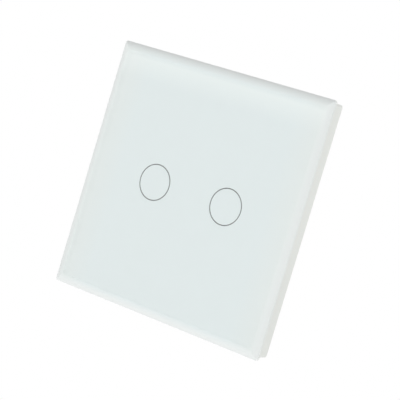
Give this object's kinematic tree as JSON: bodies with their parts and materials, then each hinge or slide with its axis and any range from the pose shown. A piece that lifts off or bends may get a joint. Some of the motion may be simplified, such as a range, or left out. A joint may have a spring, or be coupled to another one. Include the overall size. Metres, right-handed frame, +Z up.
{
  "type": "touch light switch",
  "caption": "Square wall switch with a pull-off glass touch panel marked with rings, a slotted wall tray and a rear housing with touch springs, relays and screw terminals.",
  "frame": {"origin": "midpoint of the two fixing slots, on the wall plane at the back of the tray", "axes": "+Z up, +X to the right as seen from the room, +Y into the wall, so the glass faces -Y"},
  "size_m": [0.086, 0.0367, 0.086],
  "materials": {
    "glass": "polished, with a ground curved edge",
    "print_white": "white print behind the glass",
    "mark_grey": "grey translucent line",
    "tape": "adhesive foam",
    "white_plastic": "satin moulded",
    "dark_plastic": "fine spark texture",
    "spring_steel": "bright rolled",
    "zinc_steel": "zinc plated",
    "gilt_wire": "plated",
    "brass": "bright",
    "board_green": "solder mask",
    "lamp_clear": "clear cast",
    "chip_black": "moulded",
    "capacitor_yellow": "moulded case",
    "capacitor_sleeve": "shrunk sleeve",
    "varistor_blue": "dipped coat",
    "relay_blue": "moulded case",
    "coil_copper": "taped winding",
    "terminal_green": "moulded"
  },
  "bodies": {
    "wall_part": {"base_tray": "white_plastic", "module_cover": "white_plastic", "rear_housing": "dark_plastic", "housing_screws": "zinc_steel", "touch_board": "board_green", "left_touch_spring": "gilt_wire", "right_touch_spring": "gilt_wire", "indicator_lamps": "lamp_clear", "touch_chip": "chip_black", "chip_resistors": "chip_black", "header_strip": "chip_black", "header_pins": "gilt_wire", "header_socket": "chip_black", "power_board": "board_green", "film_capacitor": "capacitor_yellow", "electrolytic_capacitor": "capacitor_sleeve", "varistor": "varistor_blue", "fuse": "chip_black", "terminal_block": "terminal_green", "terminal_tongues": "brass", "left_relay_base": "chip_black", "left_relay_cover": "relay_blue", "left_relay_pins": "zinc_steel", "left_relay_coil": "coil_copper", "left_relay_yoke": "zinc_steel", "left_relay_contact": "brass", "right_relay_base": "chip_black", "right_relay_cover": "relay_blue", "right_relay_pins": "zinc_steel", "right_relay_coil": "coil_copper", "right_relay_yoke": "zinc_steel", "right_relay_contact": "brass"},
    "front_panel": {"glass_panel": "glass", "print_film": "print_white", "touch_rings": "mark_grey", "adhesive_frame": "tape", "panel_carrier": "white_plastic", "retaining_clips": "spring_steel"},
    "left_armature": {"left_relay_armature": "zinc_steel"},
    "right_armature": {"right_relay_armature": "zinc_steel"},
    "left_screw": {"left_terminal_screw": "zinc_steel"},
    "left_cage": {"left_terminal_cage": "zinc_steel"},
    "middle_screw": {"middle_terminal_screw": "zinc_steel"},
    "middle_cage": {"middle_terminal_cage": "zinc_steel"},
    "right_screw": {"right_terminal_screw": "zinc_steel"},
    "right_cage": {"right_terminal_cage": "zinc_steel"}
  },
  "joints": [
    {"name": "panel_pull", "type": "slide", "parent": "wall_part", "child": "front_panel", "axis": [0, -1, 0], "range_m": [0, 0.04], "deforming": ["retaining_clips"]},
    {"name": "left_relay_tilt", "type": "hinge", "parent": "wall_part", "child": "left_armature", "pos_m": [-0.0122, 0.0214, -0.0037], "axis": [1, 0, 0], "range_deg": [0, 1.8], "stiffness_Nm_per_rad": 0.02, "springref_deg": -2.86},
    {"name": "right_relay_tilt", "type": "hinge", "parent": "wall_part", "child": "right_armature", "pos_m": [0.0122, 0.0214, -0.0037], "axis": [1, 0, 0], "range_deg": [0, 1.8], "stiffness_Nm_per_rad": 0.02, "springref_deg": -2.86},
    {"name": "left_screw_turn", "type": "hinge", "parent": "wall_part", "child": "left_screw", "pos_m": [-0.0075, 0.0203, -0.0217], "axis": [0, -1, 0], "range_deg": [0, 1584]},
    {"name": "left_cage_rise", "type": "slide", "parent": "wall_part", "child": "left_cage", "axis": [0, 1, 0], "range_m": [0, 0.0022]},
    {"name": "middle_screw_turn", "type": "hinge", "parent": "wall_part", "child": "middle_screw", "pos_m": [0, 0.0203, -0.0217], "axis": [0, -1, 0], "range_deg": [0, 1584]},
    {"name": "middle_cage_rise", "type": "slide", "parent": "wall_part", "child": "middle_cage", "axis": [0, 1, 0], "range_m": [0, 0.0022]},
    {"name": "right_screw_turn", "type": "hinge", "parent": "wall_part", "child": "right_screw", "pos_m": [0.0075, 0.0203, -0.0217], "axis": [0, -1, 0], "range_deg": [0, 1584]},
    {"name": "right_cage_rise", "type": "slide", "parent": "wall_part", "child": "right_cage", "axis": [0, 1, 0], "range_m": [0, 0.0022]}
  ],
  "couplings": [
    {"joint": "left_screw_turn", "follows": "left_cage_rise", "rad_per_m": 12566},
    {"joint": "middle_screw_turn", "follows": "middle_cage_rise", "rad_per_m": 12566},
    {"joint": "right_screw_turn", "follows": "right_cage_rise", "rad_per_m": 12566}
  ]
}
